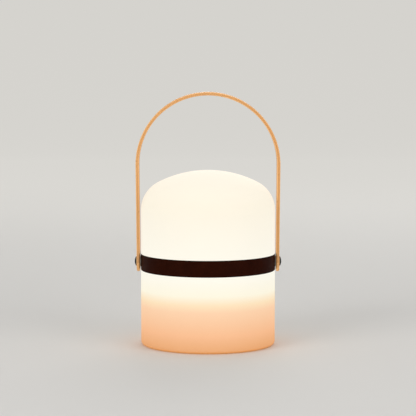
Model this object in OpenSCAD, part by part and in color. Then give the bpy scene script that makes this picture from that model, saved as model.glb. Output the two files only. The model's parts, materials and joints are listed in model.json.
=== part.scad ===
// Lantern table lamp: an opal dome and an opal cup meet behind a dark band, and a bent-wood
// carrying handle turns on two screws through that band. A light module with its battery
// stands inside the cup.
// Millimetres. +Z is up, the origin is on the table under the lamp's centre, and the
// handle's pivots lie along X.

/* [Body] */
// Outside diameter of the dome and the cup
shade_d = 150; // [140:1:170]
// Wall thickness of the dome and the cup
shade_wall = 2.4; // [1.8:0.1:3.2]
// Height of the dome's top above the table
dome_top_z = 195.2; // [186:0.1:220]
// Radius of the arc over the dome's crown
crown_r = 122; // [95:1:160]
// Radius of the arc round the dome's shoulder
shoulder_r = 35; // [20:1:45]
// Radius of the cup's bottom edge
base_edge_r = 3; // [1:0.5:4]
// How far the feet stand out below the base
foot_drop = 0.8; // [0.5:0.1:2]

/* [Seam behind the band] */
// Height of the dome's rim above the handle's pivots
seam_rise = 5.4; // [4:0.1:7]
// How far the dome's lip reaches down into the cup
lip_depth = 12.6; // [11:0.1:16]
// Wall thickness of the lip
lip_wall = 2; // [1.4:0.1:3]
// Thickness of the shelf that joins the lip to the dome's wall
shelf_t = 2.4; // [1.6:0.1:4]
// Gap between the lip and the cup's wall
lip_fit = 0.15; // [0.1:0.05:0.4]
// Thickness of the gasket between the dome and the cup
seam_gasket_t = 0.8; // [0.4:0.1:1.2]

/* [Band] */
// Height of the band
band_w = 18.3; // [15:0.1:26]
// Thickness of the band
band_t = 1.2; // [1.1:0.1:2.5]
// Depth of the groove that the band lies in
band_groove = 1.1; // [0.2:0.1:1.3]
// Radius of the band's outer edges
band_edge_r = 0.4; // [0.2:0.1:0.5]
// Width of the butt joint at the back of the band
band_joint = 0.4; // [0.2:0.1:1]

/* [Handle] */
// Height of the handle's pivots above the table
pivot_z = 93.2; // [86:0.1:104]
// Height of the arch's centre above the pivots
handle_leg = 108.7; // [100:0.1:130]
// Length of each leg's upright foot, above its pivot
handle_foot = 20; // [16:0.5:40]
// How far each leg leans out from its foot to the arch
handle_splay = 0.8; // [0:0.1:1.5]
// Width of the handle's strip
handle_w = 22.8; // [16:0.1:28]
// Thickness of the handle's strip
handle_t = 3.6; // [2.8:0.1:5]
// Width of the bevels along the strip's edges
handle_bevel = 0.8; // [0.3:0.1:1.3]

/* [Pivots] */
// Thickness of the spacer between the band and the handle
spacer_t = 0.8; // [0.6:0.1:2]
// Diameter of the spacer
spacer_d = 12; // [9:0.1:15]
// Play on each side of the handle's strip, along the pivot axis
handle_play = 0.1; // [0.05:0.05:0.3]
// Diameter of the pivot screw's smooth shoulder
shoulder_d = 6; // [5.4:0.1:6.4]
// Radial clearance of the shoulder in its bush
shoulder_clear = 0.05; // [0.02:0.01:0.1]
// Wall thickness of the bush
bush_wall = 1.15; // [0.8:0.05:1.6]
// Diameter of the pivot screw's thread
pivot_thread_d = 5; // [4:0.1:5.2]
// Diameter of the pivot screw's head
pivot_head_d = 10.4; // [9:0.1:13]
// Height of the pivot screw's head
pivot_head_h = 2.1; // [1.4:0.1:3]
// Size across the flats of the head's key socket
key_flats = 3; // [2:0.5:4]
// Depth of the key socket
key_depth = 1; // [0.6:0.1:1.2]
// Diameter of the friction washer
washer_d = 9.6; // [8:0.1:12]
// Thickness of the friction washer
washer_t = 0.3; // [0.2:0.05:0.6]
// Diameter of the threaded insert in the lip
insert_d = 7; // [6.2:0.1:7.4]
// Length of the threaded insert
insert_l = 7.6; // [5:0.1:10]
// Wall thickness of the boss round the insert
boss_wall = 2.4; // [1.6:0.1:2.8]

/* [Base] */
// Thickness of the bottom cover
cover_t = 2.2; // [2:0.1:3.5]
// Gap round the edge of the bottom cover
cover_fit = 0.3; // [0.2:0.1:0.6]
// Width of the cup's floor ring over the cover's edge
cover_land = 6.5; // [6.5:0.1:8]
// Thickness of the cup's floor ring
floor_t = 2.4; // [1.8:0.1:4]
// Thickness of the gasket under the floor ring
cover_gasket_t = 0.8; // [0.4:0.1:1.5]
// Thread diameter of the cover's and the cradle's screws
base_thread_d = 3; // [2.5:0.1:3.5]
// Length of the screws through the cover
base_screw_l = 12; // [10:0.5:14]
// Height of the screw bosses above the cup's floor ring
floor_boss_h = 7; // [6:0.5:12]
// Diameter of the foot pads
foot_d = 12; // [8:0.5:14]
// Depth of the pockets that hold the foot pads
foot_pocket = 1; // [0.6:0.1:1.4]
// Distance from the cover's edge to the middle of each foot pad
foot_inset = 18; // [15:0.5:20]

/* [Controls under the base] */
// Length of the recess for the button and the charging socket
recess_l = 46; // [42:0.5:50]
// Width of the recess
recess_w = 22; // [18:0.5:24]
// Depth of the recess
recess_depth = 8.2; // [6:0.1:12]
// Wall thickness round and over the recess
recess_wall = 1.6; // [1.2:0.1:2.4]
// Diameter of the power button
button_d = 12; // [9:0.1:13]
// How far the button stands out of the recess's ceiling
button_proud = 1.6; // [0.8:0.1:2.2]
// Travel of the power button
button_travel = 0.8; // [0.5:0.1:1.2]
// Gap round the power button
button_gap = 0.3; // [0.2:0.05:0.5]
// Width of the button's retaining flange
button_flange = 1.3; // [1:0.1:1.8]
// Thickness of the button's retaining flange
button_flange_t = 1.2; // [0.9:0.1:2]
// Wire diameter of the button's spring
spring_wire = 0.6; // [0.4:0.1:0.8]
// Number of turns of the button's spring
spring_turns = 4; // [3:1:5]
// Width of the charging socket's shell
socket_w = 9; // [8:0.1:11]
// Height of the charging socket's shell
socket_h = 3.3; // [3:0.1:4.5]
// Wall thickness of the charging socket's shell
socket_wall = 0.35; // [0.2:0.05:0.5]

/* [Battery and control board] */
// Diameter of each battery cell
cell_d = 18.4; // [16:0.1:20.5]
// Length of each battery cell
cell_l = 65; // [56:0.5:70]
// Gap between the two cells
cell_gap = 2; // [1.6:0.1:3]
// Gap between a cell and what holds it
cell_fit = 0.3; // [0.1:0.05:0.6]
// Thickness of the cradle's floor and walls
cradle_wall = 2; // [1.4:0.1:2.4]
// Diameter of the cradle's legs
cradle_leg_d = 6; // [5.6:0.1:6.6]
// Thickness of the nickel battery tabs
tab_t = 0.3; // [0.1:0.05:0.6]
// Length of the control board
board_l = 58; // [54:0.5:60]
// Width of the control board
board_w = 30; // [28:0.5:31]
// Thickness of the control board
board_t = 1.6; // [1:0.1:2]
// Diameter of the posts under the control board
board_post_d = 5.6; // [5:0.1:6]
// Height of the plug connectors on the control board
connector_h = 5; // [4:0.1:7]
// Diameter of the leads
lead_d = 1.2; // [0.8:0.1:1.4]
// Radius of a lead's bends
lead_bend_r = 2.5; // [2:0.1:3]

/* [Light module] */
// Outside diameter of the drum that houses the battery
drum_d = 108; // [102:1:114]
// Wall thickness of the drum
drum_wall = 2; // [1.4:0.1:3]
// Thickness of the drum's top
drum_top_t = 2.4; // [1.8:0.1:4]
// Thickness of the drum's flange
drum_flange_t = 1.6; // [1.2:0.1:2.4]
// Gap between the drum and the cup's floor ring
drum_gap = 1.5; // [0.8:0.1:2]
// Thickness of the aluminium heat spreader
spreader_t = 2; // [1:0.1:4]
// Thickness of the light board
led_board_t = 1.6; // [1:0.1:2]
// Number of light-emitting diodes
led_count = 12; // [6:1:20]
// Side of each diode
led_w = 5; // [3:0.1:6]
// Height of each diode
led_h = 1.6; // [0.8:0.1:2]
// Room between the diodes and the lens over them
lens_room = 2.8; // [2:0.1:8]
// Wall thickness of the lens
lens_wall = 1.6; // [1:0.1:2.4]
// Diameter of the hole that the light board's leads pass through
lead_hole_d = 10; // [6:0.5:14]

/* [Hidden] */
$fn = 96;
// Facets of a large circle that cuts a thin piece
fine_fn = 720;
// Overshoot of a cut past the face that it opens
cut_over = 1;

// Radii about the lamp's axis
shade_r = shade_d / 2;
shade_in_r = shade_r - shade_wall;
groove_r = shade_r - band_groove;
band_r = groove_r + band_t;
lip_out_r = shade_in_r - lip_fit;
lip_in_r = lip_out_r - lip_wall;

// Heights of the dome, the seam, the band and the cup
seam_z = pivot_z + seam_rise;
lip_z = seam_z - lip_depth;
shoulder_x = shade_r - shoulder_r;
crown_z = dome_top_z - crown_r;
shoulder_z = crown_z + sqrt(pow(crown_r - shoulder_r, 2) - pow(shoulder_x, 2));
band_z = pivot_z - band_w / 2;
cup_top_z = seam_z - seam_gasket_t;

// Distances along the pivot axis, from the lamp's middle outwards
spacer_x = band_r + spacer_t;
handle_in_r = spacer_x + handle_play;
handle_out_r = handle_in_r + handle_t;
washer_x = handle_out_r + handle_play;
pivot_head_x = washer_x + washer_t;
bush_r = shoulder_d / 2 + shoulder_clear + bush_wall;
insert_depth = 0.6;
insert_seat_x = lip_in_r - insert_depth;
insert_x = insert_seat_x - insert_l;
pivot_boss_r = insert_d / 2 + boss_wall;
thread_clear = 0.05;
hole_clear = 0.2;

// The middle of the handle's strip, at its feet and round its arch
foot_x = handle_in_r + handle_t / 2;
foot_top_z = pivot_z + handle_foot;
arch_r = foot_x + handle_splay;
arch_z = pivot_z + handle_leg;

// Radii and heights of the base
drum_r = drum_d / 2;
drum_in_r = drum_r - drum_wall;
opening_r = drum_r + drum_gap;
cover_r = opening_r + cover_land;
cover_screw_r = opening_r + cover_land / 2;
cover_top_z = foot_drop + cover_t;
spigot_fit = 0.2;
spigot_h = 1.2;
spigot_top_z = cover_top_z + spigot_h;
flange_top_z = cover_top_z + drum_flange_t;
floor_z = flange_top_z + cover_gasket_t;
floor_top_z = floor_z + floor_t;
floor_boss_wall = 2.1;
floor_boss_r = base_thread_d / 2 + floor_boss_wall;
base_head_d = 2 * base_thread_d;
foot_ring_r = cover_r - foot_inset;

// Heights and places of the controls
recess_ceiling_z = foot_drop + recess_depth;
recess_roof_z = recess_ceiling_z + recess_wall;
control_x = (recess_l - recess_w) / 2;
button_play = 0.1;
button_bottom_z = recess_ceiling_z - button_proud;
button_flange_z = recess_roof_z + button_play;
button_flange_top_z = button_flange_z + button_flange_t;
button_dish_depth = 0.7;
button_flange_r = button_d / 2 + button_flange;
switch_w = 6;
switch_h = 3.1;
switch_stem_d = 3.5;
switch_stem_h = 0.9;
switch_stem_z = button_flange_top_z - button_dish_depth + button_travel + button_play;
switch_z = switch_stem_z + switch_stem_h;
board_z = switch_z + switch_h;
board_top_z = board_z + board_t;
spring_inset = 0.8;
spring_r = button_flange_r - spring_wire - spring_inset;
socket_recess = 0.4;

// Places on the control board
board_post_inset = 3.5;
board_post_x = board_l / 2 - board_post_inset;
board_post_y = board_w / 2 - board_post_inset;
board_thread_d = 2.4;
board_screw_l = 6;
connector_l = 6;
connector_w = 8;
connector_inset = 7;
connector_x = board_l / 2 - connector_inset;
chip_w = 5;
chip_h = 1;
coil_w = 6;
coil_h = 3;
capacitor_d = 5;
capacitor_h = 4.5;
resistor_l = 2.4;
resistor_w = 1.2;
resistor_h = 0.6;
resistor_pitch = 3;

// The battery's stack
stack_gap = 1;
cell_r = cell_d / 2;
cell_y = (cell_d + cell_gap) / 2;
cradle_z = board_top_z + connector_h + stack_gap;
cell_z = cradle_z + cradle_wall + cell_r;
tab_x = cell_l / 2;
lead_start_x = tab_x + tab_t;
tab_room = 0.7;
cradle_in_x = lead_start_x + tab_room;
cradle_half_l = cradle_in_x + cradle_wall;
cradle_in_y = cell_y + cell_r + cell_fit;
cradle_half_w = cradle_in_y + cradle_wall;
cradle_leg_x = cradle_half_l - cradle_leg_d / 2;
cradle_leg_y = cradle_half_w - cradle_leg_d / 2;
clip_z = cell_z + cell_r + cell_fit;
clip_t = 1.6;
clip_top_z = clip_z + clip_t;
clip_l = 8;
clip_x = cell_l * 0.3;
lead_pitch = 2.8;
lead_run = 0.8;
lead_drop_x = lead_start_x + lead_run + lead_bend_r;
lead_low_z = board_top_z + connector_h / 2;

// Heights and radii of the light module
drum_ceiling_z = clip_top_z + stack_gap;
drum_top_z = drum_ceiling_z + drum_top_t;
spreader_top_z = drum_top_z + spreader_t;
led_board_top_z = spreader_top_z + led_board_t;
led_board_inset = 5;
led_board_r = drum_r - led_board_inset;
led_ring_inset = 13;
led_ring_r = led_board_r - led_ring_inset;
led_screw_inset = 6;
led_screw_r = led_board_r - led_screw_inset;
led_thread_d = 3;
led_boss_r = 3.4;
led_boss_h = 5;
lens_fit = 0.1;
lens_in_r = led_board_r + lens_fit;
lens_ceiling_z = led_board_top_z + led_h + lens_room;

OPAL = [0.98, 0.94, 0.86];
DARK_BAND = [0.10, 0.05, 0.03];
BAMBOO = [0.86, 0.70, 0.48];
BLACK_STEEL = [0.07, 0.07, 0.07];
PALE_NYLON = [0.90, 0.87, 0.80];
SPRING_STEEL = [0.62, 0.62, 0.64];
BRASS = [0.80, 0.62, 0.30];
RUBBER = [0.16, 0.16, 0.16];
WHITE_PLASTIC = [0.92, 0.92, 0.90];
ALUMINIUM = [0.78, 0.79, 0.80];
NICKEL = [0.72, 0.71, 0.68];
RED_LEAD = [0.75, 0.10, 0.08];
BLACK_LEAD = [0.10, 0.10, 0.10];

// ---- Shapes that more than one piece uses ----

// Children on the pivot axis, their +Z pointing outwards: side is 1 on the right, -1 on the left
module on_pivot(side, distance) {
    translate([0, 0, pivot_z])
        rotate([0, side * 90, 0])
            translate([0, 0, distance])
                children();
}

// Children copied evenly round the lamp's axis
module around_axis(count, radius, start) {
    for (i = [0 : count - 1])
        rotate(start + i * 360 / count)
            translate([radius, 0, 0])
                children();
}

// Children copied to the four corners of a rectangle about the lamp's axis
module at_corners(x, y) {
    for (side_x = [-1, 1], side_y = [-1, 1])
        translate([side_x * x, side_y * y, 0])
            children();
}

module tube(outer_r, inner_r, height) {
    difference() {
        cylinder(r = outer_r, h = height);
        translate([0, 0, -cut_over])
            cylinder(r = inner_r, h = height + 2 * cut_over);
    }
}

// A rectangle with round ends, flat in the XY plane
module stadium(length, width) {
    square([length - width, width], center = true);
    for (side = [-1, 1])
        translate([side * (length - width) / 2, 0])
            circle(d = width);
}

// A rectangle with rounded corners, flat in the XY plane
module rounded_rectangle(length, width, radius) {
    square([length - 2 * radius, width], center = true);
    square([length, width - 2 * radius], center = true);
    for (side_x = [-1, 1], side_y = [-1, 1])
        translate([side_x * (length / 2 - radius), side_y * (width / 2 - radius)])
            circle(radius);
}

// A block with rounded upright edges, standing on z = 0
module rounded_block(length, width, height, radius) {
    linear_extrude(height)
        rounded_rectangle(length, width, radius);
}

// A cross-slotted countersunk screw, its head's face at z = 0 and its thread pointing up
module countersunk_screw(thread_d, head_d, length) {
    slot_w = 0.25 * thread_d;
    slot_depth = 0.35 * thread_d;
    difference() {
        union() {
            cylinder(d1 = head_d, d2 = thread_d, h = (head_d - thread_d) / 2);
            cylinder(d = thread_d, h = length);
        }
        for (turn = [0, 90])
            rotate(turn)
                translate([-head_d / 4, -slot_w / 2, -cut_over])
                    cube([head_d / 2, slot_w, slot_depth + cut_over]);
    }
}

// The hole for a countersunk screw, through a plate whose face is at z = 0
module countersunk_hole(thread_d, head_d, plate_t) {
    cylinder(d1 = head_d, d2 = thread_d, h = (head_d - thread_d) / 2);
    translate([0, 0, -cut_over])
        cylinder(d = thread_d + 2 * hole_clear, h = plate_t + 2 * cut_over);
}

// A pan-head screw, its head standing up from z = 0 and its thread pointing down
module pan_screw(thread_d, length) {
    head_d = 1.9 * thread_d;
    head_h = 0.6 * thread_d;
    slot_w = 0.25 * thread_d;
    difference() {
        union() {
            cylinder(d = head_d, h = head_h);
            translate([0, 0, -length])
                cylinder(d = thread_d, h = length + head_h / 2);
        }
        for (turn = [0, 90])
            rotate(turn)
                translate([-head_d / 4, -slot_w / 2, head_h / 2])
                    cube([head_d / 2, slot_w, head_h]);
    }
}

// ---- Dome, cup and what seals them ----

// Half outline under the crown and shoulder arcs, drawn in by inset, from height from_z up
module dome_half(inset, from_z) {
    reach = 2 * crown_r;
    crown_tilt = atan2(shoulder_x, shoulder_z - crown_z);
    intersection() {
        translate([0, from_z])
            square([shade_r, dome_top_z - from_z]);
        union() {
            translate([0, from_z])
                square([shade_r - inset, shoulder_z - from_z]);
            translate([shoulder_x, shoulder_z])
                circle(shoulder_r - inset);
            intersection() {
                translate([0, crown_z])
                    circle(crown_r - inset);
                polygon([
                    [0, crown_z],
                    [0, crown_z + reach],
                    [reach * sin(crown_tilt), crown_z + reach * cos(crown_tilt)]
                ]);
            }
        }
    }
}

// Section of the groove that the band lies in, on the outside of the wall
module groove_half() {
    translate([groove_r, band_z])
        square([band_groove + cut_over, band_w]);
}

module dome_shade() {
    color(OPAL)
        difference() {
            union() {
                rotate_extrude()
                    difference() {
                        union() {
                            difference() {
                                dome_half(0, seam_z);
                                dome_half(shade_wall, seam_z - cut_over);
                            }
                            translate([lip_in_r, seam_z])
                                square([shade_r - lip_in_r, shelf_t]);
                            translate([lip_in_r, lip_z])
                                square([lip_wall, lip_depth + shelf_t]);
                        }
                        groove_half();
                    }
                for (side = [-1, 1])
                    on_pivot(side, insert_x)
                        cylinder(r = pivot_boss_r, h = lip_in_r + lip_wall / 2 - insert_x);
            }
            for (side = [-1, 1]) {
                on_pivot(side, insert_x - cut_over)
                    cylinder(d = insert_d, h = insert_l + cut_over);
                on_pivot(side, insert_x)
                    cylinder(d = pivot_thread_d + 2 * hole_clear, h = shade_r - insert_x);
            }
        }
}

// Half section of the cup: its wall and its floor ring, with the cover's rebate under it
module cup_half() {
    difference() {
        union() {
            translate([0, foot_drop])
                square([shade_r - base_edge_r, cup_top_z - foot_drop]);
            translate([0, foot_drop + base_edge_r])
                square([shade_r, cup_top_z - foot_drop - base_edge_r]);
            translate([shade_r - base_edge_r, foot_drop + base_edge_r])
                circle(base_edge_r);
        }
        translate([0, floor_top_z])
            square([shade_in_r, cup_top_z]);
        translate([0, foot_drop - cut_over])
            square([opening_r, cup_top_z]);
        translate([0, foot_drop - cut_over])
            square([cover_r + cover_fit, floor_z - foot_drop + cut_over]);
        groove_half();
    }
}

module base_cup() {
    color(OPAL)
        difference() {
            union() {
                rotate_extrude()
                    cup_half();
                around_axis(4, cover_screw_r, 45)
                    translate([0, 0, floor_z])
                        cylinder(r = floor_boss_r, h = floor_t + floor_boss_h);
            }
            cylinder(r = opening_r, h = cup_top_z);
            around_axis(4, cover_screw_r, 45)
                translate([0, 0, floor_z - cut_over])
                    cylinder(
                        d = base_thread_d + 2 * thread_clear,
                        h = foot_drop + base_screw_l - floor_z + 2 * cut_over
                    );
            for (side = [-1, 1])
                on_pivot(side, shade_in_r - lip_wall)
                    cylinder(d = pivot_thread_d + 2 * hole_clear, h = shade_wall + 2 * lip_wall);
        }
}

module seam_gasket() {
    color(RUBBER)
        translate([0, 0, cup_top_z])
            tube(groove_r, shade_in_r, seam_gasket_t);
}

module band() {
    color(DARK_BAND)
        difference() {
            rotate_extrude()
                translate([groove_r, band_z])
                    union() {
                        square([band_t - band_edge_r, band_w]);
                        translate([0, band_edge_r])
                            square([band_t, band_w - 2 * band_edge_r]);
                        for (edge_z = [band_edge_r, band_w - band_edge_r])
                            translate([band_t - band_edge_r, edge_z])
                                circle(band_edge_r);
                    }
            for (side = [-1, 1])
                on_pivot(side, groove_r - cut_over)
                    cylinder(d = pivot_thread_d + 2 * hole_clear, h = band_t + 2 * cut_over);
            translate([-band_joint / 2, groove_r - cut_over, band_z - cut_over])
                cube([band_joint, band_t + 2 * cut_over, band_w + 2 * cut_over]);
        }
}

// ---- Handle and its pivots ----

// Corners of the strip's bevelled section, its thickness along X and its middle at x
function strip_outline(x) =
    let (half_t = handle_t / 2, half_w = handle_w / 2)
    [
        [x + half_t, half_w - handle_bevel], [x + half_t - handle_bevel, half_w],
        [x - half_t + handle_bevel, half_w], [x - half_t, half_w - handle_bevel],
        [x - half_t, handle_bevel - half_w], [x - half_t + handle_bevel, -half_w],
        [x + half_t - handle_bevel, -half_w], [x + half_t, handle_bevel - half_w]
    ];

// The right leg's leaning length, from the top of its foot to the arch
module leaning_leg() {
    low_ring = [for (corner = strip_outline(foot_x)) [corner.x, corner.y, foot_top_z]];
    high_ring = [for (corner = strip_outline(arch_r)) [corner.x, corner.y, arch_z]];
    n = len(low_ring);
    low_face = [for (i = [0 : n - 1]) i];
    high_face = [for (i = [n - 1 : -1 : 0]) n + i];
    side_faces = [for (i = low_face) [i, n + i, n + (i + 1) % n, (i + 1) % n]];
    polyhedron(
        points = concat(low_ring, high_ring),
        faces = concat([low_face, high_face], side_faces)
    );
}

// The strip's round end, a bevelled disc about the pivot axis
module strip_end() {
    end_r = handle_w / 2;
    rotate_extrude()
        polygon([
            [0, 0], [end_r - handle_bevel, 0], [end_r, handle_bevel],
            [end_r, handle_t - handle_bevel], [end_r - handle_bevel, handle_t], [0, handle_t]
        ]);
}

module handle() {
    color(BAMBOO)
        difference() {
            union() {
                translate([0, 0, arch_z])
                    rotate([90, 0, 0])
                        rotate_extrude(angle = 180)
                            polygon(strip_outline(arch_r));
                for (side = [-1, 1]) {
                    mirror([side < 0 ? 1 : 0, 0, 0]) {
                        translate([0, 0, pivot_z])
                            linear_extrude(handle_foot)
                                polygon(strip_outline(foot_x));
                        leaning_leg();
                    }
                    on_pivot(side, handle_in_r)
                        strip_end();
                }
            }
            for (side = [-1, 1])
                on_pivot(side, handle_in_r - cut_over)
                    cylinder(r = bush_r, h = handle_t + 2 * cut_over);
        }
}

module pivot_bush(side) {
    color(PALE_NYLON)
        on_pivot(side, handle_in_r)
            tube(bush_r, shoulder_d / 2 + shoulder_clear, handle_t);
}

// The spacer's inner face is hollowed to sit on the round band
module spacer(side) {
    color(PALE_NYLON)
        difference() {
            on_pivot(side, band_r - 2 * spacer_t)
                tube(spacer_d / 2, pivot_thread_d / 2 + hole_clear, 3 * spacer_t);
            translate([0, 0, band_z])
                cylinder(r = band_r, h = band_w, $fn = fine_fn);
        }
}

module friction_washer(side) {
    color(SPRING_STEEL)
        on_pivot(side, washer_x)
            tube(washer_d / 2, shoulder_d / 2 + shoulder_clear, washer_t);
}

// The head is a low dome, cut from a sphere through its rim and its top
module pivot_screw(side) {
    thread_l = spacer_x - insert_x - cut_over;
    rim_h = pivot_head_h / 3;
    cap_h = pivot_head_h - rim_h;
    cap_r = (pow(pivot_head_d / 2, 2) + pow(cap_h, 2)) / (2 * cap_h);
    color(BLACK_STEEL)
        difference() {
            union() {
                on_pivot(side, insert_x + cut_over)
                    cylinder(d = pivot_thread_d, h = thread_l);
                on_pivot(side, spacer_x)
                    cylinder(d = shoulder_d, h = pivot_head_x - spacer_x);
                on_pivot(side, pivot_head_x)
                    intersection() {
                        cylinder(d = pivot_head_d, h = pivot_head_h);
                        translate([0, 0, pivot_head_h - cap_r])
                            sphere(cap_r);
                    }
            }
            on_pivot(side, pivot_head_x + pivot_head_h - key_depth)
                cylinder(d = key_flats / cos(30), h = key_depth + cut_over, $fn = 6);
        }
}

module pivot_insert(side) {
    color(BRASS)
        on_pivot(side, insert_x)
            tube(insert_d / 2, pivot_thread_d / 2 + thread_clear, insert_l);
}

// ---- Base ----

module bottom_cover() {
    color(WHITE_PLASTIC)
        difference() {
            union() {
                translate([0, 0, foot_drop])
                    cylinder(r = cover_r, h = cover_t);
                translate([0, 0, cover_top_z])
                    cylinder(r = drum_in_r - spigot_fit, h = spigot_h);
                translate([0, 0, foot_drop])
                    linear_extrude(recess_roof_z - foot_drop)
                        stadium(recess_l + 2 * recess_wall, recess_w + 2 * recess_wall);
                at_corners(board_post_x, board_post_y)
                    translate([0, 0, foot_drop])
                        cylinder(d = board_post_d, h = board_z - foot_drop);
            }
            translate([0, 0, foot_drop - cut_over])
                linear_extrude(recess_depth + cut_over)
                    stadium(recess_l, recess_w);
            translate([-control_x, 0, recess_ceiling_z - cut_over])
                cylinder(r = button_d / 2 + button_gap, h = recess_wall + 2 * cut_over);
            translate([control_x, 0, recess_ceiling_z - cut_over])
                linear_extrude(recess_wall + 2 * cut_over)
                    stadium(socket_w + 2 * hole_clear, socket_h + 2 * hole_clear);
            at_corners(board_post_x, board_post_y)
                translate([0, 0, board_top_z - board_screw_l - cut_over / 2])
                    cylinder(d = board_thread_d + 2 * thread_clear, h = board_screw_l);
            translate([0, 0, foot_drop]) {
                around_axis(4, cover_screw_r, 45)
                    countersunk_hole(base_thread_d, base_head_d, cover_t);
                at_corners(cradle_leg_x, cradle_leg_y)
                    countersunk_hole(base_thread_d, base_head_d, cover_t + spigot_h);
                around_axis(4, foot_ring_r, 45)
                    translate([0, 0, -cut_over])
                        cylinder(d = foot_d, h = foot_pocket + cut_over);
            }
        }
}

module cover_gasket() {
    color(RUBBER)
        difference() {
            translate([0, 0, flange_top_z])
                tube(cover_r, opening_r, cover_gasket_t);
            around_axis(4, cover_screw_r, 45)
                translate([0, 0, flange_top_z - cut_over])
                    cylinder(d = base_thread_d + 2 * hole_clear, h = cover_gasket_t + 2 * cut_over);
        }
}

module cover_screws() {
    color(SPRING_STEEL)
        translate([0, 0, foot_drop])
            around_axis(4, cover_screw_r, 45)
                countersunk_screw(base_thread_d, base_head_d, base_screw_l);
}

module foot_pads() {
    bevel = 0.3;
    color(RUBBER)
        around_axis(4, foot_ring_r, 45) {
            cylinder(d1 = foot_d - 2 * bevel, d2 = foot_d, h = bevel);
            translate([0, 0, bevel])
                cylinder(d = foot_d, h = foot_drop + foot_pocket - bevel);
        }
}

// ---- Controls ----

module power_button() {
    dish_r = switch_stem_d / 2 + 2 * button_gap;
    color(WHITE_PLASTIC)
        translate([-control_x, 0, 0])
            difference() {
                union() {
                    translate([0, 0, button_bottom_z])
                        cylinder(d = button_d, h = button_flange_top_z - button_bottom_z);
                    translate([0, 0, button_flange_z])
                        cylinder(r = button_flange_r, h = button_flange_t);
                }
                translate([0, 0, button_flange_top_z - button_dish_depth])
                    cylinder(r = dish_r, h = button_dish_depth + cut_over);
            }
}

// One ring of the spring's wire: turn is its angle round the coil, climb its height
function wire_ring(turn, climb, sides) = [
    for (i = [0 : sides - 1])
        let (around = (i + 0.5) * 360 / sides, r = spring_r + spring_wire / 2 * cos(around))
            [r * cos(turn), r * sin(turn), climb + spring_wire / 2 * sin(around)]
];

// A helical spring from z = 0 up to the given height
module coil_spring(height) {
    sides = 6;
    steps = 16 * spring_turns;
    climb = height - spring_wire;
    points = [
        for (i = [0 : steps])
            each wire_ring(i * 360 * spring_turns / steps, spring_wire / 2 + climb * i / steps, sides)
    ];
    walls = [
        for (i = [0 : steps - 1], j = [0 : sides - 1])
            let (a = i * sides + j, b = i * sides + (j + 1) % sides)
                each [[a, a + sides, b], [b, a + sides, b + sides]]
    ];
    first_end = [for (j = [0 : sides - 1]) j];
    last_end = [for (j = [sides - 1 : -1 : 0]) steps * sides + j];
    polyhedron(points, concat(walls, [first_end, last_end]), convexity = 8);
}

module button_spring() {
    color(SPRING_STEEL)
        translate([-control_x, 0, button_flange_top_z])
            coil_spring(board_z - button_flange_top_z);
}

module button_switch() {
    color(BLACK_STEEL)
        translate([-control_x, 0, 0]) {
            translate([0, 0, switch_z])
                rounded_block(switch_w, switch_w, switch_h, 0.4);
            translate([0, 0, switch_stem_z])
                cylinder(d = switch_stem_d, h = switch_stem_h + switch_h / 2);
        }
}

// The shell is closed by a block at the board and holds a thin contact tongue
module charge_socket() {
    mouth_z = recess_ceiling_z + socket_recess;
    tongue_w = socket_w - 2.4;
    tongue_t = 0.7;
    color(NICKEL)
        translate([control_x, 0, mouth_z]) {
            difference() {
                linear_extrude(board_z - mouth_z)
                    stadium(socket_w, socket_h);
                translate([0, 0, -cut_over])
                    linear_extrude(board_z - mouth_z - switch_stem_h + cut_over)
                        stadium(socket_w - 2 * socket_wall, socket_h - 2 * socket_wall);
            }
            translate([-tongue_w / 2, -tongue_t / 2, socket_recess])
                cube([tongue_w, tongue_t, board_z - mouth_z - socket_recess - socket_wall]);
        }
}

// ---- Control board ----

module control_board() {
    color([0.10, 0.34, 0.18])
        difference() {
            translate([0, 0, board_z])
                rounded_block(board_l, board_w, board_t, 2);
            at_corners(board_post_x, board_post_y)
                translate([0, 0, board_z - cut_over])
                    cylinder(d = board_thread_d + 2 * hole_clear, h = board_t + 2 * cut_over);
        }
}

// A chip, a coil and a capacitor beside three plug connectors, for the leads
module board_parts() {
    color([0.20, 0.20, 0.22])
        translate([0, 0, board_top_z]) {
            for (x = [-connector_x, 0, connector_x])
                translate([x, 0, 0])
                    rounded_block(connector_l, connector_w, connector_h, 0.3);
            translate([-board_l / 4, board_w / 4, 0])
                rounded_block(chip_w, chip_w, chip_h, chip_w / 20);
            translate([board_l / 4, board_w / 4, 0])
                rounded_block(coil_w, coil_w, coil_h, coil_w / 6);
            translate([-board_l / 4, -board_w / 4, 0])
                cylinder(d = capacitor_d, h = capacitor_h);
            for (step = [-1, 0, 1])
                translate([board_l / 4 + resistor_pitch * step, -board_w / 4, 0])
                    rounded_block(resistor_w, resistor_l, resistor_h, resistor_w / 10);
        }
}

module board_screws() {
    color(SPRING_STEEL)
        at_corners(board_post_x, board_post_y)
            translate([0, 0, board_top_z])
                pan_screw(board_thread_d, board_screw_l);
}

// ---- Battery ----

// The two troughs that the cells lie in, wider than a cell and touching it along its underside
module cell_troughs() {
    for (side = [-1, 1])
        translate([-cell_l, side * cell_y, cell_z + cell_fit])
            rotate([0, 90, 0])
                cylinder(r = cell_r + cell_fit, h = 2 * cell_l);
}

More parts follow.
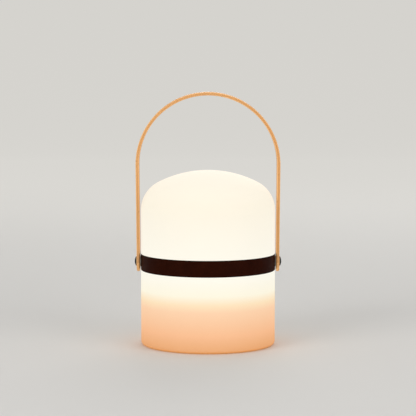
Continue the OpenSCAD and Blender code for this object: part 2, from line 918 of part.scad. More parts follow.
module battery_cradle() {
    rib_t = 1.6;
    wall_h = cell_z - cradle_z;
    notch_w = lead_d + 2;
    color(WHITE_PLASTIC)
        difference() {
            union() {
                translate([0, 0, cradle_z])
                    difference() {
                        rounded_block(2 * cradle_half_l, 2 * cradle_half_w, wall_h, 2);
                        translate([-cradle_in_x, -cradle_in_y, cradle_wall])
                            cube([2 * cradle_in_x, 2 * cradle_in_y, wall_h]);
                    }
                for (x = [-clip_x, 0, clip_x])
                    translate([x - rib_t / 2, -cradle_half_w + cradle_wall / 2, cradle_z])
                        cube([rib_t, 2 * cradle_half_w - cradle_wall, wall_h * 0.6]);
                at_corners(cradle_leg_x, cradle_leg_y)
                    translate([0, 0, spigot_top_z])
                        cylinder(d = cradle_leg_d, h = cradle_z + cradle_wall - spigot_top_z);
            }
            cell_troughs();
            for (side = [-1, 1])
                translate([side * (cradle_half_l + lead_start_x) / 2, 0, cell_z])
                    cube([cradle_half_l - lead_start_x + cut_over, notch_w, 3 * wall_h], center = true);
            translate([0, 0, cradle_z - cut_over])
                linear_extrude(wall_h + 2 * cut_over)
                    stadium(lead_pitch + lead_d + 2, lead_d + 2);
            at_corners(cradle_leg_x, cradle_leg_y)
                translate([0, 0, spigot_top_z - cut_over])
                    cylinder(
                        d = base_thread_d + 2 * thread_clear,
                        h = foot_drop + base_screw_l - spigot_top_z + 2 * cut_over
                    );
        }
}

module cradle_screws() {
    color(SPRING_STEEL)
        at_corners(cradle_leg_x, cradle_leg_y)
            translate([0, 0, foot_drop])
                countersunk_screw(base_thread_d, base_head_d, base_screw_l);
}

// A cell lies along X, with its raised contact at the +X end
module battery_cell(side_y) {
    contact_h = 1;
    contact_d = cell_d / 3;
    rim = 0.5;
    can_l = cell_l - contact_h;
    color([0.20, 0.42, 0.66])
        translate([-cell_l / 2, side_y * cell_y, cell_z])
            rotate([0, 90, 0]) {
                cylinder(r1 = cell_r - rim, r2 = cell_r, h = rim);
                translate([0, 0, rim])
                    cylinder(r = cell_r, h = can_l - 2 * rim);
                translate([0, 0, can_l - rim])
                    cylinder(r1 = cell_r, r2 = cell_r - rim, h = rim);
                translate([0, 0, can_l - rim])
                    cylinder(d = contact_d, h = contact_h + rim);
            }
}

// Each clip is a bridge over both cells that stands on the cradle's side walls
module battery_clips() {
    color(PALE_NYLON)
        for (x = [-clip_x, clip_x])
            difference() {
                translate([x - clip_l / 2, -cradle_half_w, cell_z])
                    cube([clip_l, 2 * cradle_half_w, clip_top_z - cell_z]);
                translate([x - clip_l, -cradle_in_y, cell_z - cut_over])
                    cube([2 * clip_l, 2 * cradle_in_y, clip_z - cell_z + cut_over]);
            }
}

module battery_tab(side) {
    tab_h = cell_d / 2;
    color(NICKEL)
        translate([side * (tab_x + tab_t / 2), 0, cell_z])
            cube([tab_t, 2 * cell_y + tab_h, tab_h], center = true);
}

// ---- Leads ----

// A quarter bend from +X round to -Z, starting at the origin
module lead_bend() {
    translate([0, 0, -lead_bend_r])
        rotate([90, 0, 0])
            rotate_extrude(angle = 90)
                translate([lead_bend_r, 0])
                    circle(d = lead_d);
}

module along_x(length) {
    rotate([0, 90, 0])
        cylinder(d = lead_d, h = length);
}

// From a battery tab out and down past the board's end, then back to its connector
module battery_lead(side) {
    connector_face_x = connector_x + connector_l / 2;
    color(side > 0 ? RED_LEAD : BLACK_LEAD)
        mirror([side < 0 ? 1 : 0, 0, 0]) {
            translate([lead_start_x, 0, cell_z])
                along_x(lead_run);
            translate([lead_start_x + lead_run, 0, cell_z])
                lead_bend();
            translate([lead_drop_x, 0, lead_low_z + lead_bend_r])
                cylinder(d = lead_d, h = cell_z - lead_low_z - 2 * lead_bend_r);
            translate([lead_start_x + lead_run, 0, lead_low_z])
                mirror([0, 0, 1])
                    lead_bend();
            translate([connector_face_x, 0, lead_low_z])
                along_x(lead_start_x + lead_run - connector_face_x);
        }
}

// Straight up from the middle connector, between the cells, to the light board
module led_lead(side) {
    start_z = board_top_z + connector_h;
    color(side > 0 ? RED_LEAD : BLACK_LEAD)
        translate([side * lead_pitch / 2, 0, start_z])
            cylinder(d = lead_d, h = spreader_top_z - start_z);
}

// ---- Light module ----

module module_drum() {
    color(WHITE_PLASTIC)
        difference() {
            union() {
                rotate_extrude()
                    difference() {
                        union() {
                            translate([0, cover_top_z])
                                square([drum_r, drum_top_z - cover_top_z]);
                            translate([0, cover_top_z])
                                square([cover_r, drum_flange_t]);
                        }
                        translate([0, cover_top_z - cut_over])
                            square([drum_in_r, drum_ceiling_z - cover_top_z + cut_over]);
                    }
                around_axis(3, led_screw_r, 90)
                    translate([0, 0, drum_ceiling_z - led_boss_h])
                        cylinder(r = led_boss_r, h = led_boss_h + drum_top_t / 2);
            }
            translate([0, 0, drum_ceiling_z - cut_over])
                cylinder(d = lead_hole_d, h = drum_top_t + 2 * cut_over);
            around_axis(3, led_screw_r, 90)
                translate([0, 0, drum_ceiling_z - led_boss_h + cut_over])
                    cylinder(d = led_thread_d + 2 * thread_clear, h = led_boss_h + drum_top_t);
            around_axis(4, cover_screw_r, 45)
                translate([0, 0, cover_top_z - cut_over])
                    cylinder(d = base_thread_d + 2 * hole_clear, h = drum_flange_t + 2 * cut_over);
        }
}

// A disc with holes for the light board's three screws
module screwed_disc(radius, thickness) {
    difference() {
        cylinder(r = radius, h = thickness);
        around_axis(3, led_screw_r, 90)
            translate([0, 0, -cut_over])
                cylinder(d = led_thread_d + 2 * hole_clear, h = thickness + 2 * cut_over);
    }
}

module heat_spreader() {
    color(ALUMINIUM)
        translate([0, 0, drum_top_z])
            difference() {
                screwed_disc(drum_r, spreader_t);
                translate([0, 0, -cut_over])
                    cylinder(d = lead_hole_d, h = spreader_t + 2 * cut_over);
            }
}

module led_board() {
    color([0.94, 0.94, 0.92])
        translate([0, 0, spreader_top_z])
            screwed_disc(led_board_r, led_board_t);
}

module leds() {
    color([0.98, 0.86, 0.45])
        translate([0, 0, led_board_top_z])
            around_axis(led_count, led_ring_r, 0)
                rounded_block(led_w, led_w, led_h, 0.3);
}

module led_screws() {
    color(SPRING_STEEL)
        around_axis(3, led_screw_r, 90)
            translate([0, 0, led_board_top_z])
                pan_screw(led_thread_d, led_board_top_z - drum_top_z + led_boss_h);
}

module led_cover() {
    color(OPAL)
        translate([0, 0, spreader_top_z])
            difference() {
                cylinder(r = lens_in_r + lens_wall, h = lens_ceiling_z + lens_wall - spreader_top_z);
                translate([0, 0, -cut_over])
                    cylinder(r = lens_in_r, h = lens_ceiling_z - spreader_top_z + cut_over);
            }
}

dome_shade();
base_cup();
seam_gasket();
band();
handle();
pivot_bush(-1);  // pivot_bush_left
pivot_bush(1);  // pivot_bush_right
spacer(-1);  // spacer_left
spacer(1);  // spacer_right
friction_washer(-1);  // friction_washer_left
friction_washer(1);  // friction_washer_right
pivot_screw(-1);  // pivot_screw_left
pivot_screw(1);  // pivot_screw_right
pivot_insert(-1);  // pivot_insert_left
pivot_insert(1);  // pivot_insert_right
bottom_cover();
cover_gasket();
cover_screws();
foot_pads();
power_button();
button_spring();
button_switch();
charge_socket();
control_board();
board_parts();
board_screws();
battery_cradle();
cradle_screws();
battery_cell(-1);  // battery_cell_front
battery_cell(1);  // battery_cell_rear
battery_clips();
battery_tab(1);  // battery_tab_positive
battery_tab(-1);  // battery_tab_negative
battery_lead(1);  // battery_lead_red
battery_lead(-1);  // battery_lead_black
led_lead(1);  // led_lead_red
led_lead(-1);  // led_lead_black
module_drum();
heat_spreader();
led_board();
leds();
led_screws();
led_cover();
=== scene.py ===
"""Looks of the lantern table lamp: a finish for every piece, a pale studio, its lights and the camera.

Metres, in the lamp's own frame: +Z is up, the table is at z = 0, the handle's pivots lie along X and
the camera looks along +Y. The solids keep their own shapes. The only piece made here is the button's
coil spring, because it shortens as the button is pressed.
"""
import json
import math

import bpy
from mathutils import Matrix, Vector


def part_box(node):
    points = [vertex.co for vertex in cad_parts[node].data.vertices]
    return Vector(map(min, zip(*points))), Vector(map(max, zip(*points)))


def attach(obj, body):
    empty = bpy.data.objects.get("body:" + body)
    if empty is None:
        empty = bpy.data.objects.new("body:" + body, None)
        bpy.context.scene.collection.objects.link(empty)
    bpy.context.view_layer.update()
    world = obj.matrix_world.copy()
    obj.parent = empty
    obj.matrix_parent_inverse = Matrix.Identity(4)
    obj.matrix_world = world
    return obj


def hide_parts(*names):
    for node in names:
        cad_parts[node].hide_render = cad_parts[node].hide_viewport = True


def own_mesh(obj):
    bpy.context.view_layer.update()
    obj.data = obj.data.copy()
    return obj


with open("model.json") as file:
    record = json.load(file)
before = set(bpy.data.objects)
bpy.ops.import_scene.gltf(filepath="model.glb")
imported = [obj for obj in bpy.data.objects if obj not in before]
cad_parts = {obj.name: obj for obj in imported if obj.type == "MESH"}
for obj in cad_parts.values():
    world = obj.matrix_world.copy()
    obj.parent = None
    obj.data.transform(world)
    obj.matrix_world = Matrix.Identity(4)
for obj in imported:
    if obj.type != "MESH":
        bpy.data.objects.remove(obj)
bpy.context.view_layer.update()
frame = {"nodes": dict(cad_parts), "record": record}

MM = 0.001
NODES = frame["nodes"]

# ---- Places that the finishes follow, read from the frame ----

band_low, band_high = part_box("band")
BAND_MIDDLE_Z = (band_low.z + band_high.z) / 2
BAND_HALF = (band_high.z - band_low.z) / 2

bush_low, bush_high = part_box("pivot_bush_right")
PIVOT_Z = (bush_low.z + bush_high.z) / 2
STRIP_T = bush_high.x - bush_low.x

DOME_TOP_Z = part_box("dome_shade")[1].z

handle_low, handle_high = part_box("handle")
STRIP_W = handle_high.y - handle_low.y
ARCH_OUTER_R = handle_high.x
ARCH_INNER_R = ARCH_OUTER_R - STRIP_T
ARCH_MIDDLE_R = ARCH_OUTER_R - STRIP_T / 2
ARCH_Z = handle_high.z - ARCH_OUTER_R
# The legs lean in from the arch to their feet, which stand upright over this height
FOOT_H = 20 * MM
SPLAY = ARCH_INNER_R - bush_low.x
LEAN_H = ARCH_Z - PIVOT_Z - FOOT_H


def srgb(red, green, blue):
    """A linear colour from the 0 to 255 values that a picture shows."""
    def linear(value):
        share = value / 255
        return share / 12.92 if share <= 0.04045 else ((share + 0.055) / 1.055) ** 2.4
    return linear(red), linear(green), linear(blue)


def shaded(color, share):
    """A colour made darker or lighter by a share of itself."""
    return tuple(channel * share for channel in color)


# ---- Node materials ----

class Look:
    """A Principled material whose patterns are built from nodes in the piece's own frame."""

    def __init__(self, name, color, roughness, metallic=0.0, specular=0.5):
        self.material = bpy.data.materials.new(name)
        self.material.use_nodes = True
        self.tree = self.material.node_tree
        self.shader = self.tree.nodes["Principled BSDF"]
        self.place = self.add("TexCoord").outputs["Object"]
        self.set("Base Color", color)
        self.set("Roughness", roughness)
        self.set("Metallic", metallic)
        self.set("Specular IOR Level", specular)

    def add(self, kind, **settings):
        node = self.tree.nodes.new("ShaderNode" + kind)
        for name, value in settings.items():
            setattr(node, name, value)
        return node

    def feed(self, socket, value):
        """Joins a socket to another node's output, or sets it to a plain value."""
        if isinstance(value, bpy.types.NodeSocket):
            self.tree.links.new(value, socket)
        elif socket.type == "RGBA":
            socket.default_value = (*value, 1.0)
        else:
            socket.default_value = value

    def set(self, name, value):
        self.feed(self.shader.inputs[name], value)

    def math(self, operation, *values):
        node = self.add("Math", operation=operation)
        for socket, value in zip(node.inputs, values):
            self.feed(socket, value)
        return node.outputs[0]

    def split(self, vector):
        node = self.add("SeparateXYZ")
        self.feed(node.inputs[0], vector)
        return node.outputs["X"], node.outputs["Y"], node.outputs["Z"]

    def join(self, x, y, z):
        node = self.add("CombineXYZ")
        for socket, value in zip(node.inputs, (x, y, z)):
            self.feed(socket, value)
        return node.outputs[0]

    def noise(self, size, detail=2.0, place=None):
        """Clouds from 0 to 1 whose blotches are about size across."""
        node = self.add("TexNoise")
        self.feed(node.inputs["Vector"], place or self.place)
        node.inputs["Scale"].default_value = 1 / size
        node.inputs["Detail"].default_value = detail
        return node.outputs[0]

    def cells(self, size, feature="F1", place=None):
        """Distances in a field of cells that are about size across."""
        node = self.add("TexVoronoi", feature=feature)
        self.feed(node.inputs["Vector"], place or self.place)
        node.inputs["Scale"].default_value = 1 / size
        return node.outputs["Distance"]

    def span(self, value, low, high, out_low=0.0, out_high=1.0):
        """Maps low..high smoothly to out_low..out_high and holds it beyond both ends."""
        node = self.add("MapRange", interpolation_type="SMOOTHSTEP")
        numbers = {
            "Value": value, "From Min": low, "From Max": high, "To Min": out_low, "To Max": out_high,
        }
        for name, number in numbers.items():
            self.feed(node.inputs[name], number)
        return node.outputs[0]

    def mix(self, share, first, second):
        """A colour between two others."""
        node = self.add("MixRGB")
        for socket, value in zip(node.inputs, (share, first, second)):
            self.feed(socket, value)
        return node.outputs[0]

    def ramp(self, share, stops):
        """A colour by share. Stops are pairs of a place from 0 to 1 and a colour."""
        node = self.add("ValToRGB")
        elements = node.color_ramp.elements
        while len(elements) < len(stops):
            elements.new(0.5)
        for element, (place, color) in zip(elements, stops):
            element.position = place
            element.color = (*color, 1.0)
        self.feed(node.inputs[0], share)
        return node.outputs["Color"]

    def relief(self, height, depth):
        """Bump in which a height from 0 to 1 stands for 0 to depth."""
        node = self.add("Bump")
        node.inputs["Distance"].default_value = depth
        self.feed(node.inputs["Height"], height)
        self.set("Normal", node.outputs[0])


# ---- The lit opal body ----

# What the lit body looks like by height above the table: peach from the foot up to the light board,
# which stands where dim turns to bright, and warm white above it
LIT_BY_HEIGHT = (
    (0 * MM, srgb(231, 167, 115)),
    (20 * MM, srgb(248, 191, 147)),
    (45 * MM, srgb(252, 211, 174)),
    (53 * MM, srgb(253, 228, 191)),
    (63 * MM, srgb(253, 247, 226)),
    (84 * MM, srgb(253, 250, 238)),
    (160 * MM, srgb(252, 244, 226)),
    (DOME_TOP_Z, srgb(254, 247, 231)),
)
OPAL = (0.25, 0.21, 0.16)
# Share of its own colour that the studio's light shows on the body
STUDIO_LEVEL = 0.9


def opal(name):
    """Satin opal plastic that glows: brightest above the light board, peach and dimmer below it."""
    look = Look(name, OPAL, 0.55, specular=0.03)
    cloud = look.noise(30 * MM)
    look.set("Base Color", look.mix(cloud, shaded(OPAL, 0.97), shaded(OPAL, 1.03)))
    look.set("Roughness", look.span(look.noise(4 * MM), 0.3, 0.7, 0.50, 0.60))
    stops = [
        (height / DOME_TOP_Z, [max(0, lit - STUDIO_LEVEL * own) for lit, own in zip(color, OPAL)])
        for height, color in LIT_BY_HEIGHT
    ]
    share = look.math("DIVIDE", look.split(look.place)[2], DOME_TOP_Z)
    look.set("Emission Color", look.ramp(share, stops))
    look.set("Emission Strength", 1.0)
    look.relief(look.noise(0.5 * MM, detail=3), 0.01 * MM)
    return look


# ---- Band ----

BAND_DARK = srgb(31, 7, 2)
BAND_LIGHT = srgb(45, 14, 4)
BAND_EDGE = srgb(20, 7, 3)
# The painted edge fades out between these distances from the band's rim
EDGE_FULL = 0.3 * MM
EDGE_GONE = 1.1 * MM


def dark_band(name):
    """Smooth, very dark leather with a fine grain, and edges that are painted and rubbed."""
    look = Look(name, BAND_DARK, 0.5, specular=0.02)
    height = look.split(look.place)[2]
    off_middle = look.math("ABSOLUTE", look.math("SUBTRACT", height, BAND_MIDDLE_Z))
    edge = look.span(off_middle, BAND_HALF - EDGE_GONE, BAND_HALF - EDGE_FULL)
    grain = look.cells(0.9 * MM, feature="SMOOTH_F1")
    cloud = look.noise(14 * MM, detail=3)
    hide = look.mix(cloud, BAND_DARK, BAND_LIGHT)
    look.set("Base Color", look.mix(edge, hide, BAND_EDGE))
    hide_gloss = look.span(grain, 0.1, 0.7, 0.40, 0.58)
    look.set("Roughness", look.math("SUBTRACT", hide_gloss, look.math("MULTIPLY", edge, 0.12)))
    fine = look.math("MULTIPLY", look.noise(0.25 * MM), 0.35)
    rise = look.math("SUBTRACT", fine, look.math("MULTIPLY", grain, look.math("SUBTRACT", 1.0, edge)))
    look.relief(rise, 0.06 * MM)
    return look


# ---- Handle ----

BAMBOO = srgb(255, 201, 133)
BAMBOO_DARK = srgb(240, 172, 101)
BAMBOO_GLUE = srgb(180, 117, 62)
SLATS = 4
PLIES = 3
GLUE_LINE = 0.05 * MM
FIBRE_W = 0.5 * MM
STREAK_W = 1.6 * MM
# Fibres run along the strip, so their pattern is drawn out by one over this
FIBRE_DRAW = 0.012
KNUCKLE_PITCH = 170 * MM
KNUCKLE_FULL = 0.3 * MM
KNUCKLE_GONE = 1.4 * MM


def strip_place(look):
    """Along, across and into the bent strip, from its middle at the top of the arch."""
    x, y, z = look.split(look.place)
    rise = look.math("SUBTRACT", z, ARCH_Z)
    turn = look.math("ARCTAN2", x, look.math("MAXIMUM", rise, 0.0))
    drop = look.math("MULTIPLY", look.math("MINIMUM", rise, 0.0), look.math("SIGN", x))
    along = look.math("SUBTRACT", look.math("MULTIPLY", turn, ARCH_MIDDLE_R), drop)
    from_centre = look.math("SQRT", look.math(
        "ADD",
        look.math("MULTIPLY", x, x),
        look.math("POWER", look.math("MAXIMUM", rise, 0.0), 2.0),
    ))
    depth = look.math("MAXIMUM", look.math("MULTIPLY", rise, -1.0), 0.0)
    lean = look.math("MULTIPLY", look.math("MINIMUM", look.math("DIVIDE", depth, LEAN_H), 1.0), SPLAY)
    into = look.math("ADD", look.math("SUBTRACT", from_centre, ARCH_INNER_R), lean)
    return along, y, into


def bamboo(name):
    """Bent strip of thin bamboo plies, each of narrow slats, with straight fibres along the bend."""
    look = Look(name, BAMBOO, 0.42, specular=0.4)
    along, across, into = strip_place(look)
    slat = look.math("FLOOR", look.math("DIVIDE", across, STRIP_W / SLATS))
    ply = look.math("FLOOR", look.math("DIVIDE", into, STRIP_T / PLIES))
    piece = look.join(slat, ply, 0.5)
    random = look.add("TexWhiteNoise", noise_dimensions="3D")
    look.feed(random.inputs["Vector"], piece)
    chance = random.outputs["Value"]

    fibre_place = look.join(
        look.math("MULTIPLY", along, FIBRE_DRAW),
        look.math("ADD", across, look.math("MULTIPLY", chance, 0.5)),
        into,
    )
    fibres = look.noise(FIBRE_W, detail=3, place=fibre_place)
    streaks = look.noise(STREAK_W, detail=2, place=fibre_place)
    tone = look.math("ADD", look.math("MULTIPLY", fibres, 0.55), look.math("MULTIPLY", streaks, 0.45))
    wood = look.mix(look.span(tone, 0.38, 0.68), BAMBOO, BAMBOO_DARK)
    wood = look.mix(look.math("MULTIPLY", chance, 0.30), wood, BAMBOO_DARK)

    shifted = look.math("ADD", along, look.math("MULTIPLY", chance, KNUCKLE_PITCH))
    in_pitch = look.math("WRAP", shifted, KNUCKLE_PITCH / 2, -KNUCKLE_PITCH / 2)
    near_knuckle = look.math("ABSOLUTE", in_pitch)
    knuckle = look.span(near_knuckle, KNUCKLE_FULL, KNUCKLE_GONE, 1.0, 0.0)
    wood = look.mix(look.math("MULTIPLY", knuckle, 0.45), wood, BAMBOO_GLUE)

    between_slats = seam_lines(look, across, STRIP_W / SLATS)
    between_plies = seam_lines(look, into, STRIP_T / PLIES)
    glue = look.math("MAXIMUM", between_slats, between_plies)
    look.set("Base Color", look.mix(look.math("MULTIPLY", glue, 0.55), wood, BAMBOO_GLUE))
    look.set("Roughness", look.span(tone, 0.3, 0.7, 0.36, 0.50))
    look.set("Coat Weight", 0.2)
    look.set("Coat Roughness", 0.25)
    look.relief(look.math("SUBTRACT", look.math("MULTIPLY", tone, 0.6), glue), 0.03 * MM)
    return look


def seam_lines(look, value, pitch):
    """1 on the glue lines at every whole pitch and 0 between them."""
    in_pitch = look.math("WRAP", value, pitch / 2, -pitch / 2)
    return look.span(look.math("ABSOLUTE", in_pitch), GLUE_LINE / 2, 2 * GLUE_LINE, 1.0, 0.0)


# ---- Plain materials, each with its own fine surface ----

def moulded(name, color, roughness, grain=0.4 * MM, depth=0.012 * MM):
    """Moulded plastic or rubber with a fine spark-eroded texture."""
    look = Look(name, color, roughness, specular=0.4)
    cloud = look.noise(12 * MM)
    look.set("Base Color", look.mix(cloud, shaded(color, 0.94), shaded(color, 1.05)))
    texture = look.noise(grain, detail=3)
    look.set("Roughness", look.span(texture, 0.3, 0.7, roughness - 0.06, roughness + 0.06))
    look.relief(texture, depth)
    return look


def metal(name, color, roughness, metallic=1.0, stretch=(1, 1, 12)):
    """Metal with fine machining marks, drawn out across the given axes."""
    look = Look(name, color, roughness, metallic=metallic)
    x, y, z = look.split(look.place)
    place = look.join(*(look.math("MULTIPLY", axis, share) for axis, share in zip((x, y, z), stretch)))
    marks = look.noise(0.8 * MM, detail=3, place=place)
    cloud = look.noise(5 * MM)
    look.set("Base Color", look.mix(cloud, shaded(color, 0.86), shaded(color, 1.08)))
    look.set("Roughness", look.span(marks, 0.3, 0.7, roughness - 0.08, roughness + 0.10))
    look.relief(marks, 0.006 * MM)
    return look


def black_steel(name):
    """Dull black oxide on the pivot screws, a little worn round the rim of the head."""
    color = (0.006, 0.0055, 0.005)
    worn = (0.016, 0.014, 0.012)
    rim_w = 0.7 * MM
    look = metal(name, color, 0.46, metallic=0.0, stretch=(1, 1, 1))
    look.set("Specular IOR Level", 0.07)
    x, y, z = look.split(look.place)
    off_pivot = look.math("SQRT", look.math(
        "ADD",
        look.math("MULTIPLY", y, y),
        look.math("POWER", look.math("SUBTRACT", z, PIVOT_Z), 2.0),
    ))
    head_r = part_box("pivot_screw_right")[1].y
    rim = look.span(off_pivot, head_r - rim_w, head_r)
    rubbed = look.math("MULTIPLY", rim, look.noise(1.5 * MM, detail=4))
    look.set("Base Color", look.mix(rubbed, color, worn))
    return look


def circuit_board(name, color, track):
    """Solder mask over etched tracks and pads."""
    look = Look(name, color, 0.32, specular=0.5)
    tracks = look.cells(3.5 * MM, feature="DISTANCE_TO_EDGE")
    on_track = look.span(tracks, 0.07, 0.10, 1.0, 0.0)
    look.set("Base Color", look.mix(on_track, color, track))
    look.relief(on_track, 0.03 * MM)
    return look


def glowing(name, color, glow, strength):
    """A translucent part that is lit from behind, with slight mottling."""
    look = moulded(name, color, 0.4)
    cloud = look.noise(3 * MM)
    look.set("Emission Color", look.mix(cloud, shaded(glow, 0.92), glow))
    look.set("Emission Strength", strength)
    return look


def cell_sleeve(name):
    """Plain shrink sleeve with a darker band where it grips each end of the cell."""
    blue = srgb(62, 120, 176)
    dark_blue = srgb(36, 74, 118)
    grip_w = 3 * MM
    grip_fade = 0.6 * MM
    look = moulded(name, blue, 0.3, grain=2 * MM, depth=0.02 * MM)
    cell_low, cell_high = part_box("battery_cell_front")
    middle_x = (cell_low.x + cell_high.x) / 2
    half = (cell_high.x - cell_low.x) / 2
    x = look.split(look.place)[0]
    off_middle = look.math("ABSOLUTE", look.math("SUBTRACT", x, middle_x))
    grip = look.span(off_middle, half - grip_w, half - grip_w + grip_fade)
    look.set("Base Color", look.mix(grip, blue, dark_blue))
    return look


LOOKS = {
    "opal_shade": opal("opal_shade"),
    "opal_cup": opal("opal_cup"),
    "dark_band": dark_band("dark_band"),
    "bamboo": bamboo("bamboo"),
    "pale_nylon": moulded("pale_nylon", srgb(250, 245, 234), 0.45),
    "spring_steel": metal("spring_steel", (0.60, 0.60, 0.62), 0.32),
    "black_steel": black_steel("black_steel"),
    "brass": metal("brass", (0.78, 0.58, 0.25), 0.28),
    "rubber": moulded("rubber", (0.045, 0.045, 0.047), 0.72, grain=0.6 * MM, depth=0.03 * MM),
    "white_plastic": moulded("white_plastic", srgb(236, 236, 232), 0.45),
    "button_plastic": moulded("button_plastic", srgb(176, 176, 178), 0.5),
    "black_plastic": moulded("black_plastic", (0.028, 0.028, 0.030), 0.42),
    "screw_steel": metal("screw_steel", (0.66, 0.66, 0.68), 0.30, stretch=(1, 1, 1)),
    "nickel": metal("nickel", (0.66, 0.62, 0.55), 0.22, stretch=(1, 12, 1)),
    "green_board": circuit_board("green_board", srgb(38, 96, 58), srgb(66, 128, 82)),
    "white_board": circuit_board("white_board", srgb(240, 240, 236), srgb(226, 226, 220)),
    "led_phosphor": glowing("led_phosphor", srgb(246, 216, 120), srgb(255, 214, 150), 3.0),
    "opal_lens": glowing("opal_lens", srgb(242, 236, 222), srgb(255, 240, 214), 0.8),
    "cell_wrap": cell_sleeve("cell_wrap"),
    "red_lead": moulded("red_lead", srgb(186, 26, 22), 0.35, grain=0.8 * MM),
    "black_lead": moulded("black_lead", (0.02, 0.02, 0.02), 0.35, grain=0.8 * MM),
    "aluminium": metal("aluminium", (0.76, 0.77, 0.78), 0.34, stretch=(1, 14, 1)),
}


def dress_nodes():
    """Gives every solid the look of the record's material slot."""
    for subpart in frame["record"]["subparts"]:
        look = LOOKS[subpart["material_slot"]]
        for material_slot in NODES[subpart["node"]].material_slots:
            material_slot.material = look.material


# ---- Meshes built from rings of points ----

def ring_faces(rings, sides):
    """Faces that join each ring of points to the next one."""
    faces = []
    for ring in range(rings - 1):
        for side in range(sides):
            after = (side + 1) % sides
            first, second = ring * sides, (ring + 1) * sides
            faces.append((first + side, second + side, second + after, first + after))
    return faces


def add_mesh(name, points, faces, look):
    """A smooth piece in the scene with one look all over."""
    mesh = bpy.data.meshes.new(name)
    mesh.from_pydata(points, [], faces)
    mesh.shade_smooth()
    mesh.materials.append(look.material)
    piece = bpy.data.objects.new(name, mesh)
    bpy.context.scene.collection.objects.link(piece)
    return piece


# ---- Button spring ----

SPRING_WIRE = 0.6 * MM
SPRING_TURNS = 4
STEPS_PER_TURN = 24
WIRE_SIDES = 10


def coil_spring():
    """The coil spring over the power button, which shortens as the button goes up."""
    low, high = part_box("button_spring")
    middle = (low + high) / 2
    wire_r = SPRING_WIRE / 2
    coil_r = (high.x - low.x) / 2 - wire_r
    steps = STEPS_PER_TURN * SPRING_TURNS
    points = []
    for step in range(steps + 1):
        turn = 2 * math.pi * step / STEPS_PER_TURN
        climb = low.z + wire_r + (high.z - low.z - SPRING_WIRE) * step / steps
        for side in range(WIRE_SIDES):
            around = 2 * math.pi * (side + 0.5) / WIRE_SIDES
            reach = coil_r + wire_r * math.cos(around)
            points.append((
                middle.x + reach * math.cos(turn),
                middle.y + reach * math.sin(turn),
                climb + wire_r * math.sin(around),
            ))
    last_ring = steps * WIRE_SIDES
    low_end = tuple(range(WIRE_SIDES))
    high_end = tuple(reversed(range(last_ring, last_ring + WIRE_SIDES)))
    faces = [low_end, high_end] + ring_faces(steps + 1, WIRE_SIDES)
    spring = add_mesh("coil_spring", points, faces, LOOKS["spring_steel"])
    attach(spring, "lamp")
    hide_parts("button_spring")
    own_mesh(spring)


# ---- Studio ----

FLOOR_R = 3.2
WALL_BEND_R = 1.4
WALL_H = 4.0
BEND_STEPS = 24
STUDIO_SIDES = 96
FLOOR_PAINT = (0.70, 0.69, 0.67)
# What the camera and mirror-like surfaces see of the stage, from nothing at the first distance from
# the lamp's axis to all of it at the second one
BACKDROP = srgb(212, 210, 205)
BACKDROP_STARTS = 0.3
BACKDROP_FULL = 2.4


def studio_paint():
    """Pale matt paint that takes shadows near the lamp and turns into an even backdrop further out."""
    paint = Look("studio_paint", FLOOR_PAINT, 0.85, specular=0.2)
    x, y = paint.split(paint.place)[:2]
    away = paint.math("SQRT", paint.math("ADD", paint.math("MULTIPLY", x, x), paint.math("MULTIPLY", y, y)))
    far = paint.span(away, BACKDROP_STARTS, BACKDROP_FULL)
    rays = paint.add("LightPath").outputs
    mirrored = paint.math("MAXIMUM", rays["Is Glossy Ray"], rays["Is Transmission Ray"])
    seen = paint.math("MULTIPLY", far, paint.math("MAXIMUM", rays["Is Camera Ray"], mirrored))
    paint.set("Base Color", paint.mix(seen, FLOOR_PAINT, (0, 0, 0)))
    paint.set("Emission Color", BACKDROP)
    paint.set("Emission Strength", seen)
    return paint


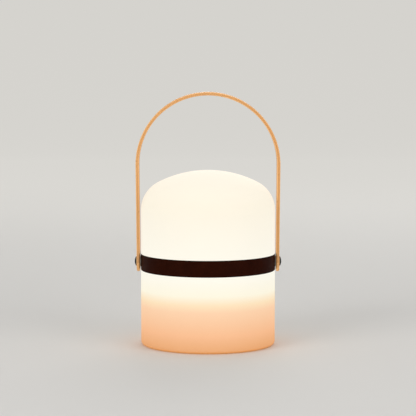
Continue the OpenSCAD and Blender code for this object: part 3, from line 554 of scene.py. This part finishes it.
def studio():
    """A floor that curves up into a round wall, so that every view has the same plain background."""
    profile = [(0.0, 0.0), (FLOOR_R / 8, 0.0), (FLOOR_R / 2, 0.0)]
    for step in range(BEND_STEPS + 1):
        turn = math.pi / 2 * step / BEND_STEPS
        profile.append((FLOOR_R + WALL_BEND_R * math.sin(turn), WALL_BEND_R * (1 - math.cos(turn))))
    profile.append((FLOOR_R + WALL_BEND_R, WALL_H))
    points = []
    for radius, height in profile:
        for side in range(STUDIO_SIDES):
            turn = 2 * math.pi * side / STUDIO_SIDES
            points.append((radius * math.cos(turn), radius * math.sin(turn), height))
    faces = ring_faces(len(profile), STUDIO_SIDES)
    add_mesh("studio", points, faces, studio_paint())


def soft_light(name, place, aim, size, watts):
    """A square soft box that the camera doesn't see."""
    light = bpy.data.lights.new(name, "AREA")
    light.shape = "SQUARE"
    light.size = size
    light.energy = watts
    box = bpy.data.objects.new(name, light)
    box.location = place
    box.rotation_euler = (Vector(aim) - Vector(place)).to_track_quat("-Z", "Y").to_euler()
    box.visible_camera = False
    bpy.context.scene.collection.objects.link(box)


WORLD_LEVEL = 0.7
LIT_POINT = (0, 0, 0.14)
# Place, size and watts of each soft box
SOFT_BOXES = {
    "key_light": ((-1.8, -2.0, 1.1), 1.6, 32),
    "fill_light": ((2.0, -1.9, 0.9), 1.8, 27),
    "back_light": ((0.4, 2.3, 1.4), 1.8, 14),
}


def light_studio():
    """Even white light from all round, and three soft boxes that shape the lamp."""
    world = bpy.data.worlds.new("studio_air")
    world.use_nodes = True
    air = world.node_tree.nodes["Background"]
    air.inputs["Color"].default_value = (1, 1, 1, 1)
    air.inputs["Strength"].default_value = WORLD_LEVEL
    bpy.context.scene.world = world
    for name, (place, size, watts) in SOFT_BOXES.items():
        soft_light(name, place, LIT_POINT, size, watts)


# ---- Camera ----

CAMERA_PLACE = (0, -1.95, 0.333)
CAMERA_DOWN_DEG = 5.28
CAMERA_LENS_MM = 151.6
CAMERA_SENSOR_MM = 36


def photo_camera():
    """A long lens a little above the lamp, level from side to side."""
    data = bpy.data.cameras.new("photo_camera")
    data.lens = CAMERA_LENS_MM
    data.sensor_width = CAMERA_SENSOR_MM
    camera = bpy.data.objects.new("photo_camera", data)
    camera.location = CAMERA_PLACE
    camera.rotation_euler = (math.radians(90 - CAMERA_DOWN_DEG), 0, 0)
    bpy.context.scene.collection.objects.link(camera)
    bpy.context.scene.camera = camera


dress_nodes()
coil_spring()
studio()
light_studio()
photo_camera()
bpy.context.scene.view_settings.view_transform = "Standard"
